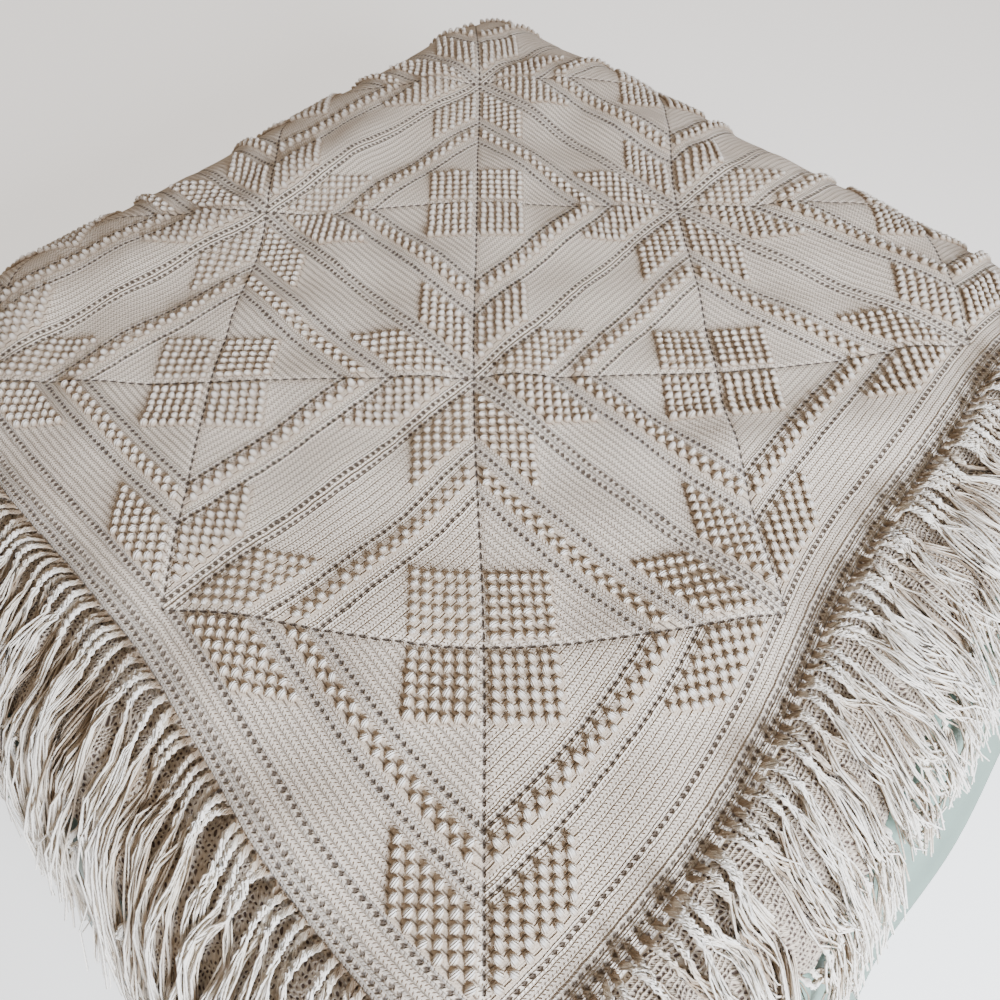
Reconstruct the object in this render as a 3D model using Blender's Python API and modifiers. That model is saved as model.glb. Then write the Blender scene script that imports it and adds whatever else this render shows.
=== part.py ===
"""A square crochet bedspread of nine big squares, lying on a bed.

Its eyelet border reaches the rounded edge of the bed on the two near sides
(+X and -Y), where a lace flounce and a knotted fringe lie over the edge.
On the two far sides (-X and +Y) the squares themselves hang down too.
The bed has a thick soft cover that bulges over the near sides.
Metres, +Z up, origin at the middle of the bed's underside.
"""

import math

import bmesh
import bpy
from mathutils import Vector

# The bed
BED_HEIGHT = 0.685
BASE_HEIGHT = 0.29
BASE_SIZE = (1.50, 1.52)
BASE_RADIUS = 0.02
FLAT_X = 0.605  # half of the flat top, up to where the cover starts to round
FLAT_Y = 0.63
COVER_RINGS = 10
COVER_CORNER_STEPS = 6
MERGE_DISTANCE = 0.00001

# How each side of the cover falls: the radius it turns over, and how steeply it then hangs
SIDE_COLUMNS = ("radius", "steepness")
SIDES = {
    "+X": (0.17, 62.0),
    "-X": (0.16, 90.0),
    "+Y": (0.16, 90.0),
    "-Y": (0.14, 65.0),
}

# The bedspread, flat: nine big squares and a border
SQUARE = 0.5
MIDDLE_STAR = (0.01, -0.04)  # a corner shared by four squares, from the bed's middle
SQUARES_FAR = 2  # squares from that corner to the far edges
SQUARES_NEAR = 1
BORDER = 0.054
CORNER_RADIUS = 0.03
CORNER_PULL = 0.45  # share of the corner radius by which a single corner point is drawn in
PANEL_THICKNESS = 0.004
TOP_CLEARANCE = 0.0006
EDGE_CLEARANCE = 0.004
CELL = 0.08
EDGE_CELL = 0.036

# The trimmings on the border's edge
SEAM_GAP = 0.005
LAYER_GAP = 0.007
FLOUNCE_DEPTH = 0.13
FLOUNCE_THICKNESS = 0.003
RIPPLE_LENGTH = 0.16
RIPPLE_HEIGHT = 0.015
RIPPLE_STATIONS = 4
RIPPLE_START = 0.07  # the ripples grow to their full height over this distance from the seam
CORNER_STATIONS = 6
TASSEL_LENGTH = 0.215
LOWER_TASSEL_LENGTH = 0.12
FRINGE_THICKNESS = 0.006
TASSEL_RISE = (0.04, 0.06)  # where the upper fringe lifts off the flounce's own fringe, and over how far
HEM_DROOP = 0.35  # how far the trimmings sag on a corner that hangs, as a share of their length
HEM_START = 0.12  # the sag starts this far past the bed's flat top
HEM_RISE = 0.1  # and reaches its full share over this distance
CORNER_TILT = 0.52  # how far a hanging corner swings out, in radians

# Soft ridges (height above 0) and troughs (below 0) in the cloth on the flat top
FOLD_COLUMNS = ("x0", "y0", "x1", "y1", "height", "width")
FOLDS = (
    (-0.55, -0.41, -0.49, 0.15, 0.012, 0.050),
    (-0.51, 0.10, -0.55, 0.47, 0.014, 0.055),
    (-0.42, -0.26, -0.41, 0.27, -0.004, 0.040),
    (-0.57, 0.55, -0.35, 0.51, 0.014, 0.050),
    (-0.41, 0.60, -0.03, 0.57, 0.012, 0.050),
    (0.05, 0.58, 0.41, 0.55, 0.010, 0.055),
    (0.33, 0.10, 0.47, 0.30, 0.012, 0.060),
    (0.42, -0.16, 0.47, -0.06, 0.010, 0.060),
    (0.10, -0.29, 0.29, -0.17, -0.004, 0.070),
    (-0.35, -0.45, -0.07, -0.48, 0.008, 0.050),
)
BASE_LIFT = 0.0045  # how high the cloth floats between its folds
FOLD_FADE = 0.16  # the folds die out over this distance past the flat top
NORMAL_STEP = 0.002  # half of the distance over which the cloth's slope is measured

PANEL_LOW = (
    MIDDLE_STAR[0] - SQUARES_FAR * SQUARE - BORDER,
    MIDDLE_STAR[1] - SQUARES_NEAR * SQUARE - BORDER,
)
PANEL_HIGH = (
    MIDDLE_STAR[0] + SQUARES_NEAR * SQUARE + BORDER,
    MIDDLE_STAR[1] + SQUARES_FAR * SQUARE + BORDER,
)


def clear_scene():
    for obj in list(bpy.data.objects):
        bpy.data.objects.remove(obj, do_unlink=True)


def material(name, color, roughness):
    made = bpy.data.materials.new(name)
    made.use_nodes = True
    shader = made.node_tree.nodes["Principled BSDF"]
    shader.inputs["Base Color"].default_value = (*color, 1.0)
    shader.inputs["Roughness"].default_value = roughness
    return made


def add_object(name, mesh, collection, finish):
    obj = bpy.data.objects.new(name, mesh)
    mesh.materials.append(finish)
    collection.objects.link(obj)
    return obj


def smoothstep(value):
    value = min(max(value, 0.0), 1.0)
    return value * value * (3.0 - 2.0 * value)


def fold_height(x, y):
    """Height of the cloth over the flat top: a bump along each fold's line."""
    total = BASE_LIFT
    for row in FOLDS:
        fold = dict(zip(FOLD_COLUMNS, row))
        along_x = fold["x1"] - fold["x0"]
        along_y = fold["y1"] - fold["y0"]
        length2 = along_x**2 + along_y**2
        t = ((x - fold["x0"]) * along_x + (y - fold["y0"]) * along_y) / length2
        t = min(max(t, 0.0), 1.0)
        away2 = (x - fold["x0"] - t * along_x) ** 2 + (y - fold["y0"] - t * along_y) ** 2
        total += fold["height"] * math.exp(-away2 / fold["width"] ** 2)
    return max(total, 0.0)


def bent_side(s, t, clearance, tilt):
    """Where a flat point past the bed's flat top lands, and the way its surface faces there.

    It turns over the side's radius, then runs straight down at the side's slope.
    Past two sides at once the directions fan out round the corner, swung out by tilt.
    """
    over_x = max(abs(s) - FLAT_X, 0.0)
    over_y = max(abs(t) - FLAT_Y, 0.0)
    side_x = dict(zip(SIDE_COLUMNS, SIDES["+X" if s > 0 else "-X"]))
    side_y = dict(zip(SIDE_COLUMNS, SIDES["+Y" if t > 0 else "-Y"]))
    over = math.hypot(over_x, over_y)
    angle = math.atan2(over_y, over_x)
    share = math.sin(angle) ** 2
    radius = side_x["radius"] * (1.0 - share) + side_y["radius"] * share + clearance
    slope = math.radians(side_x["steepness"] * (1.0 - share) + side_y["steepness"] * share)
    swing = tilt * (1.0 - math.cos(4.0 * angle)) / 2.0
    outward = Vector((math.cos(angle), math.sin(angle), 0.0))
    diagonal = Vector((math.sqrt(0.5), math.sqrt(0.5), 0.0))
    fall = outward * math.cos(slope) + diagonal * math.sin(swing)
    fall.z = -math.sin(slope) * math.cos(swing)
    fall.normalize()
    turn = math.acos(outward.dot(fall))
    inward = (fall - outward * math.cos(turn)) / math.sin(turn)
    bend = min(over / radius, turn)
    along = outward * math.cos(bend) + inward * math.sin(bend)
    facing = outward * math.sin(bend) - inward * math.cos(bend)
    place = radius * (outward * math.sin(bend) + inward * (1.0 - math.cos(bend)))
    place += along * (over - radius * bend)
    place += Vector((min(abs(s), FLAT_X), min(abs(t), FLAT_Y), 0.0))
    mirror = Vector((math.copysign(1.0, s), math.copysign(1.0, t), 1.0))
    return place * mirror, facing * mirror, over


def draped(s, t):
    """Where a point of the flat cloth, s and t from the bed's middle, comes to lie."""
    clearance = EDGE_CLEARANCE + PANEL_THICKNESS / 2 + BASE_LIFT
    place, facing, over = bent_side(s, t, clearance, CORNER_TILT)
    fade = 1.0 - smoothstep(over / FOLD_FADE)
    flat_s = min(max(s, -FLAT_X), FLAT_X)
    flat_t = min(max(t, -FLAT_Y), FLAT_Y)
    bump = (fold_height(flat_s, flat_t) - BASE_LIFT) * fade
    top = BED_HEIGHT + TOP_CLEARANCE + PANEL_THICKNESS / 2 + BASE_LIFT
    return place + facing * bump + Vector((0.0, 0.0, top))


def raised(s, t, lift):
    """A point that far off the cloth's line, away from the bed."""
    along_s = draped(s + NORMAL_STEP, t) - draped(s - NORMAL_STEP, t)
    along_t = draped(s, t + NORMAL_STEP) - draped(s, t - NORMAL_STEP)
    return draped(s, t) + along_s.cross(along_t).normalized() * lift


def grid_lines(low, high, flat):
    """Cuts across the panel: close together where it bends, wider elsewhere."""
    marks = {low, low + CORNER_RADIUS, high - CORNER_RADIUS, high}
    for side in (-1, 1):
        if low + CORNER_RADIUS < side * flat < high - CORNER_RADIUS:
            marks.add(side * flat)
    marks = sorted(marks)
    lines = [low]
    for start, end in zip(marks, marks[1:]):
        cell = EDGE_CELL if abs(start + end) / 2 > flat else CELL
        count = max(1, round((end - start) / cell))
        lines += [start + (end - start) * (i + 1) / count for i in range(count)]
    return lines


def rounded_corner(s, t):
    """Pulls the panel's four corner points in onto its rounded outline."""
    inset = CORNER_RADIUS * CORNER_PULL
    at_s = s in (PANEL_LOW[0], PANEL_HIGH[0])
    at_t = t in (PANEL_LOW[1], PANEL_HIGH[1])
    if at_s and at_t:
        s -= math.copysign(inset, s)
        t -= math.copysign(inset, t)
    return s, t


def solidify(obj, thickness):
    wall = obj.modifiers.new("thickness", "SOLIDIFY")
    wall.thickness = thickness
    wall.offset = 0.0
    wall.use_even_offset = False


def crochet_panel(collection, finish):
    lines_s = grid_lines(PANEL_LOW[0], PANEL_HIGH[0], FLAT_X)
    lines_t = grid_lines(PANEL_LOW[1], PANEL_HIGH[1], FLAT_Y)
    across = len(lines_s) - 1
    down = len(lines_t) - 1
    cloth = bmesh.new()
    bmesh.ops.create_grid(cloth, x_segments=across, y_segments=down, size=1.0)
    for vert in cloth.verts:
        column = round((vert.co.x + 1.0) / 2.0 * across)
        row = round((vert.co.y + 1.0) / 2.0 * down)
        vert.co = draped(*rounded_corner(lines_s[column], lines_t[row]))
    bmesh.ops.recalc_face_normals(cloth, faces=cloth.faces)
    mesh = bpy.data.meshes.new("crochet_panel")
    cloth.to_mesh(mesh)
    cloth.free()
    solidify(add_object("crochet_panel", mesh, collection, finish), PANEL_THICKNESS)


def edge_stations():
    """Points round the panel's edge as (distance along it, s, t, outward s, outward t)."""
    corners = (
        (PANEL_HIGH[0], PANEL_HIGH[1], 0.0),
        (PANEL_LOW[0], PANEL_HIGH[1], 90.0),
        (PANEL_LOW[0], PANEL_LOW[1], 180.0),
        (PANEL_HIGH[0], PANEL_LOW[1], 270.0),
    )
    step = RIPPLE_LENGTH / RIPPLE_STATIONS
    stations = []
    distance = 0.0
    for index, (s, t, start) in enumerate(corners):
        centre_s = s - math.copysign(CORNER_RADIUS, s)
        centre_t = t - math.copysign(CORNER_RADIUS, t)
        for turn in range(CORNER_STATIONS + 1):
            angle = math.radians(start + 90.0 * turn / CORNER_STATIONS)
            out_s = math.cos(angle)
            out_t = math.sin(angle)
            edge_s = centre_s + CORNER_RADIUS * out_s
            edge_t = centre_t + CORNER_RADIUS * out_t
            stations.append((distance, edge_s, edge_t, out_s, out_t))
            distance += step if turn < CORNER_STATIONS else 0.0
        next_s, next_t, _ = corners[(index + 1) % len(corners)]
        end_s = next_s - math.copysign(CORNER_RADIUS, next_s) + CORNER_RADIUS * out_s
        end_t = next_t - math.copysign(CORNER_RADIUS, next_t) + CORNER_RADIUS * out_t
        length = math.hypot(end_s - edge_s, end_t - edge_t)
        count = round(length / RIPPLE_LENGTH) * RIPPLE_STATIONS
        for i in range(1, count):
            distance += step
            part = i / count
            place = (edge_s + (end_s - edge_s) * part, edge_t + (end_t - edge_t) * part)
            stations.append((distance, *place, out_s, out_t))
        distance += step
    return stations


def hem_steepness(s, t):
    """0 where the panel's edge lies level, 1 where it hangs down a side of the bed."""
    over = max(abs(s) - FLAT_X, 0.0) + max(abs(t) - FLAT_Y, 0.0)
    return smoothstep((over - HEM_START) / HEM_RISE)


def trimmed(station, out, lift):
    """A point on the trimmings, out beyond the panel's edge and lift above the cloth's line."""
    distance, s, t, out_s, out_t = station
    wave = 0.5 - 0.5 * math.cos(2 * math.pi * distance / RIPPLE_LENGTH)
    rise = RIPPLE_HEIGHT * wave * smoothstep(out / RIPPLE_START)
    place = raised(s + out_s * out, t + out_t * out, rise + lift)
    drop = draped(s, t).z - draped(s + out_s * out, t + out_t * out).z
    level = 1.0 - min(1.0, abs(drop) / out)
    place.z -= HEM_DROOP * out * level * hem_steepness(s, t)
    return place


def trim_ring(name, start, length, strips, lift_at, thickness, is_comb, collection, finish):
    """A closed strip round the panel's edge. A comb is slit into clumps below its first row."""
    rows = [start + length * row / strips for row in range(strips + 1)]
    stations = edge_stations()
    ring = bmesh.new()
    columns = []
    for station in stations:
        columns.append([ring.verts.new(trimmed(station, out, lift_at(out))) for out in rows])
    for index, this in enumerate(columns):
        following = columns[(index + 1) % len(columns)]
        slit = is_comb and index % RIPPLE_STATIONS == RIPPLE_STATIONS - 1
        for row in range(1 if slit else strips):
            ring.faces.new((this[row], this[row + 1], following[row + 1], following[row]))
    bmesh.ops.recalc_face_normals(ring, faces=ring.faces)
    mesh = bpy.data.meshes.new(name)
    ring.to_mesh(mesh)
    ring.free()
    solidify(add_object(name, mesh, collection, finish), thickness)


def cover_reach(angle):
    """The cover's length from the flat top down to the base, out in that direction."""
    side_x = dict(zip(SIDE_COLUMNS, SIDES["+X" if math.cos(angle) > 0 else "-X"]))
    side_y = dict(zip(SIDE_COLUMNS, SIDES["+Y" if math.sin(angle) > 0 else "-Y"]))
    share = math.sin(angle) ** 2
    radius = side_x["radius"] * (1.0 - share) + side_y["radius"] * share
    slope = math.radians(side_x["steepness"] * (1.0 - share) + side_y["steepness"] * share)
    depth = BED_HEIGHT - BASE_HEIGHT - SEAM_GAP - radius * (1.0 - math.cos(slope))
    return radius * slope + depth / math.sin(slope)


def bed_cover(collection, finish):
    """The bed in its thick cover: a flat top whose sides turn over and hang, closed below."""
    cover = bmesh.new()
    rings = []
    for ring in range(COVER_RINGS + 1):
        row = []
        for quarter, (side_s, side_t) in enumerate(((1, 1), (-1, 1), (-1, -1), (1, -1))):
            for step in range(COVER_CORNER_STEPS + 1):
                angle = math.radians(90.0 * (quarter + step / COVER_CORNER_STEPS))
                over = cover_reach(angle) * ring / COVER_RINGS
                s = side_s * (FLAT_X + over * abs(math.cos(angle)))
                t = side_t * (FLAT_Y + over * abs(math.sin(angle)))
                place = bent_side(s, t, 0.0, 0.0)[0]
                row.append(cover.verts.new(place + Vector((0.0, 0.0, BED_HEIGHT))))
        rings.append(row)
    for upper, lower in zip(rings, rings[1:]):
        for this in range(len(upper)):
            following = (this + 1) % len(upper)
            cover.faces.new((upper[this], lower[this], lower[following], upper[following]))
    cover.faces.new(rings[0])
    cover.faces.new(rings[-1])
    bmesh.ops.remove_doubles(cover, verts=cover.verts, dist=MERGE_DISTANCE)
    bmesh.ops.recalc_face_normals(cover, faces=cover.faces)
    mesh = bpy.data.meshes.new("bed_cover")
    cover.to_mesh(mesh)
    cover.free()
    mesh.shade_smooth()
    add_object("bed_cover", mesh, collection, finish)


def bed_base(collection, finish):
    """A plain block with rounded edges."""
    block = bmesh.new()
    bmesh.ops.create_cube(block, size=1.0)
    bmesh.ops.scale(block, vec=(*BASE_SIZE, BASE_HEIGHT), verts=block.verts)
    bmesh.ops.translate(block, vec=(0.0, 0.0, BASE_HEIGHT / 2), verts=block.verts)
    uprights = [e for e in block.edges if abs(e.verts[0].co.z - e.verts[1].co.z) > BASE_RADIUS]
    bmesh.ops.bevel(
        block,
        geom=uprights,
        offset=BASE_RADIUS,
        segments=4,
        profile=0.5,
        affect="EDGES",
        material=-1,
    )
    mesh = bpy.data.meshes.new("bed_base")
    block.to_mesh(mesh)
    block.free()
    add_object("bed_base", mesh, collection, finish)


def build():
    clear_scene()
    collection = bpy.data.collections.new("crochet_bedspread_on_bed")
    bpy.context.scene.collection.children.link(collection)
    ecru = material("ecru_cotton", (0.75, 0.68, 0.58), 0.95)
    yarn = material("cotton_yarn", (0.78, 0.72, 0.62), 0.95)
    sage = material("sage_sheet", (0.40, 0.49, 0.44), 0.9)

    bed_base(collection, sage)
    bed_cover(collection, sage)
    crochet_panel(collection, ecru)
    flounce_lift = FLOUNCE_THICKNESS / 2
    over_flounce = flounce_lift + (FLOUNCE_THICKNESS + FRINGE_THICKNESS) / 2 + LAYER_GAP
    rise_start, rise_length = TASSEL_RISE
    trim_ring(
        "lace_flounce",
        SEAM_GAP,
        FLOUNCE_DEPTH,
        3,
        lambda out: flounce_lift,
        FLOUNCE_THICKNESS,
        False,
        collection,
        ecru,
    )
    trim_ring(
        "lower_fringe",
        SEAM_GAP + FLOUNCE_DEPTH + SEAM_GAP,
        LOWER_TASSEL_LENGTH,
        2,
        lambda out: flounce_lift,
        FRINGE_THICKNESS,
        True,
        collection,
        yarn,
    )
    trim_ring(
        "upper_fringe",
        SEAM_GAP,
        TASSEL_LENGTH,
        3,
        lambda out: over_flounce + FRINGE_THICKNESS * smoothstep((out - rise_start) / rise_length),
        FRINGE_THICKNESS,
        True,
        collection,
        yarn,
    )


build()
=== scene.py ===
import math

import bmesh
import bpy
import numpy as np
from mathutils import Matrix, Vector


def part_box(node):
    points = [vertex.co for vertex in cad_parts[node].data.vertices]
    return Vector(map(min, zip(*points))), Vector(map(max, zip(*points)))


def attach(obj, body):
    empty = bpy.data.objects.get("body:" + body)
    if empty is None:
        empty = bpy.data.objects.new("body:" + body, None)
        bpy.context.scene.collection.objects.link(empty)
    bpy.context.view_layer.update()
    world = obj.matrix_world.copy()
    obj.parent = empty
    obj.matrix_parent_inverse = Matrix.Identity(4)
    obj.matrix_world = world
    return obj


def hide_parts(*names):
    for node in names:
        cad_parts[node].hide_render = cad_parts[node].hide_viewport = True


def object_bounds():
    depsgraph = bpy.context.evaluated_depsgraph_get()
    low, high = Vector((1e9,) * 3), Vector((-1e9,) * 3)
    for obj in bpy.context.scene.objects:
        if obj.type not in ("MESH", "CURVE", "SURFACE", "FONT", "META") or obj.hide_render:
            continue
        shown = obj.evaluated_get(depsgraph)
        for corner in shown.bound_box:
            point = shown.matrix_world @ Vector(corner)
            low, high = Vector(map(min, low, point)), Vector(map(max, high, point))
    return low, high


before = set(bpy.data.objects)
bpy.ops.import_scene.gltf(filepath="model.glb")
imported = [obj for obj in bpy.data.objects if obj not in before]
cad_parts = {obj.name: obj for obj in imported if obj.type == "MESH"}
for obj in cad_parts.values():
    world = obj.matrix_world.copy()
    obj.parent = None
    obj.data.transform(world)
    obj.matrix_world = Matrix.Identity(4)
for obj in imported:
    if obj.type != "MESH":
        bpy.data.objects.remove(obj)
cadBox = [list(corner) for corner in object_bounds()]
print("frame loaded")


def addNode(tree, kind, inputs=(), **settings):
    node = tree.nodes.new(kind)
    for name, value in settings.items():
        setattr(node, name, value)
    for key, value in dict(inputs).items():
        if isinstance(value, bpy.types.NodeSocket):
            tree.links.new(value, node.inputs[key])
        else:
            node.inputs[key].default_value = value
    return node


def linear(hexColour):  # sRGB hex to the linear colour that shaders take
    channels = [int(hexColour[i : i + 2], 16) / 255 for i in (1, 3, 5)]
    curved = [c / 12.92 if c <= 0.04045 else ((c + 0.055) / 1.055) ** 2.4 for c in channels]
    return (*curved, 1.0)


def setStops(ramp, *stops):  # each stop: its place on the ramp and its colour
    elements = ramp.color_ramp.elements
    elements[0].position, elements[1].position = stops[0][0], stops[-1][0]
    for position, _ in stops[1:-1]:
        elements.new(position)
    for element, (_, colour) in zip(elements, stops):
        element.color = linear(colour)


def newMaterial(name):
    made = bpy.data.materials.new(name)
    made.use_nodes = True
    made.node_tree.nodes.clear()
    return made, made.node_tree


def charted(tree, uvMap, first, second):  # a piece's own UV map, and its two numbers by the names given
    uv = addNode(tree, "ShaderNodeUVMap", uv_map=uvMap).outputs[0]
    split = addNode(tree, "ShaderNodeSeparateXYZ", {0: uv}).outputs
    return uv, {first: split[0], second: split[1]}


def finishCloth(tree, colour, height, look, shadedHoles=None):  # the nodes that every cloth here ends in
    # where given, holes and slits are painted dark: painted shade, as seen through the openings
    if shadedHoles:
        painted = {"Factor": shadedHoles, "A": colour, "B": linear(look["shadedHole"])}
        colour = addNode(tree, "ShaderNodeMix", painted, data_type="RGBA").outputs["Result"]
    bump = addNode(
        tree,
        "ShaderNodeBump",
        {"Height": height, "Strength": look["bump"], "Distance": look["bumpDistance"]},
    )
    inputs = {
        "Base Color": colour,
        "Roughness": look["roughness"],
        "Normal": bump.outputs[0],
        "Sheen Weight": look["sheen"],
    }
    shader = addNode(tree, "ShaderNodeBsdfPrincipled", inputs)
    addNode(tree, "ShaderNodeOutputMaterial", {"Surface": shader.outputs[0]})


def mathSteps(tree, known, steps):  # each step: a new name, the operation, its two or three inputs
    for name, operation, *values in steps:
        inputs = {i: known.get(v, v) if isinstance(v, str) else v for i, v in enumerate(values)}
        known[name] = addNode(tree, "ShaderNodeMath", inputs, operation=operation).outputs[0]


def smooth(x):
    x = np.clip(x, 0, 1)
    return x * x * (3 - 2 * x)


# How the bed and the cloth on it are shaped: the same numbers as the frame was built with
bed = {
    "height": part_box("bed_cover")[1][2],
    "flatX": 0.605,
    "flatY": 0.63,
    "sides": {"+X": (0.17, 62), "-X": (0.16, 90), "+Y": (0.16, 90), "-Y": (0.14, 65)},  # radius, slope
    "cornerTilt": 0.52,
    "lift": 0.0045,
    "unevenness": 0.0021,
    "foldFade": 0.16,
    "clearance": 0.004,
    "thickness": 0.004,
    "topClearance": 0.0006,
    "folds": (  # x0, y0, x1, y1, height, width
        (-0.55, -0.41, -0.49, 0.15, 0.012, 0.050),
        (-0.51, 0.10, -0.55, 0.47, 0.014, 0.055),
        (-0.42, -0.26, -0.41, 0.27, -0.004, 0.040),
        (-0.57, 0.55, -0.35, 0.51, 0.014, 0.050),
        (-0.41, 0.60, -0.03, 0.57, 0.012, 0.050),
        (0.05, 0.58, 0.41, 0.55, 0.010, 0.055),
        (0.33, 0.10, 0.47, 0.30, 0.012, 0.060),
        (0.42, -0.16, 0.47, -0.06, 0.010, 0.060),
        (0.10, -0.29, 0.29, -0.17, -0.004, 0.070),
        (-0.35, -0.45, -0.07, -0.48, 0.008, 0.050),
    ),
}


def foldHeight(x, y):
    total = np.full(np.shape(x), bed["lift"])
    soft = np.sin(2 * math.pi * (x / 0.19 + 0.35 * np.sin(2 * math.pi * y / 0.43)))
    soft = soft + np.sin(2 * math.pi * (y / 0.16 + 0.4 * np.sin(2 * math.pi * x / 0.51)))
    total = total + bed["unevenness"] * (2 + soft)
    for x0, y0, x1, y1, height, width in bed["folds"]:
        share = ((x - x0) * (x1 - x0) + (y - y0) * (y1 - y0)) / ((x1 - x0) ** 2 + (y1 - y0) ** 2)
        share = np.clip(share, 0, 1)
        away = (x - x0 - share * (x1 - x0)) ** 2 + (y - y0 - share * (y1 - y0)) ** 2
        total = total + height * np.exp(-away / width**2)
    return np.maximum(total, 0)


def sideShape(x, y, angle):  # the bend's radius and the slope below it, on the way out at that angle
    sides = bed["sides"]
    share = np.sin(angle) ** 2
    alongX = [np.where(x > 0, sides["+X"][i], sides["-X"][i]) for i in (0, 1)]
    alongY = [np.where(y > 0, sides["+Y"][i], sides["-Y"][i]) for i in (0, 1)]
    radius, slope = [first * (1 - share) + second * share for first, second in zip(alongX, alongY)]
    return radius, np.radians(slope)


def bentSide(s, t, clearance, tilt):  # turns over the bed's edge, then runs straight down its side
    overX = np.maximum(np.abs(s) - bed["flatX"], 0)
    overY = np.maximum(np.abs(t) - bed["flatY"], 0)
    over = np.hypot(overX, overY)
    angle = np.arctan2(overY, overX)
    radius, slope = sideShape(s, t, angle)
    radius = radius + clearance
    swing = tilt * (1 - np.cos(4 * angle)) / 2
    outward = np.stack([np.cos(angle), np.sin(angle), np.zeros_like(angle)], -1)
    fall = outward * np.cos(slope)[..., None]
    fall = fall + np.array([0.5**0.5, 0.5**0.5, 0]) * np.sin(swing)[..., None]
    fall[..., 2] = -np.sin(slope) * np.cos(swing)
    fall /= np.linalg.norm(fall, axis=-1, keepdims=True)
    turn = np.arccos(np.clip((outward * fall).sum(-1), -1, 1))
    inward = (fall - outward * np.cos(turn)[..., None]) / np.sin(turn)[..., None]
    bend = np.minimum(over / radius, turn)
    sinBend, cosBend = np.sin(bend)[..., None], np.cos(bend)[..., None]
    facing = outward * sinBend - inward * cosBend
    place = radius[..., None] * (outward * sinBend + inward * (1 - cosBend))
    place = place + (outward * cosBend + inward * sinBend) * (over - radius * bend)[..., None]
    place[..., 0] += np.minimum(np.abs(s), bed["flatX"])
    place[..., 1] += np.minimum(np.abs(t), bed["flatY"])
    mirror = np.stack([np.where(s < 0, -1.0, 1.0), np.where(t < 0, -1.0, 1.0), np.ones_like(over)], -1)
    return place * mirror, facing * mirror, over


def draped(s, t):  # where a point of the flat cloth comes to lie
    clearance = bed["clearance"] + bed["thickness"] / 2 + bed["lift"]
    place, facing, over = bentSide(s, t, clearance, bed["cornerTilt"])
    flatS = np.clip(s, -bed["flatX"], bed["flatX"])
    flatT = np.clip(t, -bed["flatY"], bed["flatY"])
    bump = (foldHeight(flatS, flatT) - bed["lift"]) * (1 - smooth(over / bed["foldFade"]))
    place = place + facing * bump[..., None]
    place[..., 2] += bed["height"] + bed["topClearance"] + bed["thickness"] / 2 + bed["lift"]
    return place


def surfaceAt(s, t):  # the place, and the directions along s, along t and off the cloth there
    step = 0.002
    alongS = draped(s + step, t) - draped(s - step, t)
    alongT = draped(s, t + step) - draped(s, t - step)
    alongS /= np.linalg.norm(alongS, axis=-1, keepdims=True)
    alongT /= np.linalg.norm(alongT, axis=-1, keepdims=True)
    normal = np.cross(alongS, alongT)
    normal /= np.linalg.norm(normal, axis=-1, keepdims=True)
    return draped(s, t), alongS, alongT, normal


# The pattern's own coordinates: a and b count the big squares, from the middle star
pattern = {
    "square": 0.5,
    "unit": 0.5 / 56,  # one rib, which is two rows; the eyelets have the same pitch
    "star": (0.01, -0.04),
    "far": 2,
    "near": 1,
    "border": 0.054,
    "cornerRadius": 0.03,
    "pullReach": 0.42,
    "pulls": (  # a, b, and how far the cloth is pulled out of true there, in x and y
        (0.0, 1.0, -0.017, 0.009),
        (-1.0, 0.0, 0.018, 0.004),
        (0.0, -1.0, -0.011, -0.016),
        (-1.0, -1.0, 0.005, 0.009),
        (1.0, -1.0, -0.028, 0.038),
        (0.5, 0.5, 0.026, -0.014),
        (-0.5, 0.5, -0.003, -0.014),
        (-0.5, -0.5, -0.009, 0.015),
        (0.5, -0.5, -0.003, -0.015),
        (0.5, -1.5, 0.024, 0.020),
        (1.0, -0.26, -0.016, 0.0),
        (1.0, 0.33, 0.028, 0.0),
        (1.0, 0.85, 0.026, -0.005),
        (0.64, 1.0, 0.005, -0.024),
    ),
}
patternLow = -pattern["far"] - pattern["border"] / pattern["square"]
patternHigh = pattern["near"] + pattern["border"] / pattern["square"]
patternMiddle = (pattern["near"] - pattern["far"]) / 2
squaresReach = (pattern["near"] + pattern["far"]) / 2  # from the middle to the border
ribs = pattern["square"] / pattern["unit"]  # in one square


def onBed(a, b):  # pattern coordinates to the flat cloth's own, in metres from the bed's middle
    s = pattern["star"][0] + pattern["square"] * a
    t = pattern["star"][1] - pattern["square"] * b
    for pullA, pullB, x, y in pattern["pulls"]:
        near = np.exp(-((a - pullA) ** 2 + (b - pullB) ** 2) / pattern["pullReach"] ** 2)
        s = s + x * near
        t = t + y * near
    return s, t


def setPoints(mesh, points):
    mesh.vertices.foreach_set("co", np.asarray(points, np.float32).reshape(-1))
    mesh.update()


def pointsOf(mesh):
    found = np.empty(len(mesh.vertices) * 3, np.float32)
    mesh.vertices.foreach_get("co", found)
    return found.reshape(-1, 3).astype(float)


def addUV(mesh, name, perVertex):
    corners = np.empty(len(mesh.loops), np.int32)
    mesh.loops.foreach_get("vertex_index", corners)
    layer = mesh.uv_layers.new(name=name)
    layer.data.foreach_set("uv", np.asarray(perVertex, np.float32)[corners].reshape(-1))


def addValue(mesh, name, perVertex):
    made = mesh.attributes.new(name, "FLOAT", "POINT")
    made.data.foreach_set("value", np.asarray(perVertex, np.float32).reshape(-1))


def addObject(name, data):
    made = bpy.data.objects.new(name, data)
    bpy.context.scene.collection.objects.link(made)
    return made


def addPiece(name, mesh, material):
    piece = addObject(name, mesh)
    mesh.materials.clear()
    mesh.materials.append(material)
    mesh.shade_smooth()
    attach(piece, "root")
    return piece


def thicken(piece, thickness):
    wall = piece.modifiers.new("thickness", "SOLIDIFY")
    wall.thickness = thickness
    wall.offset = 0.0
    wall.use_even_offset = False


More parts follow.
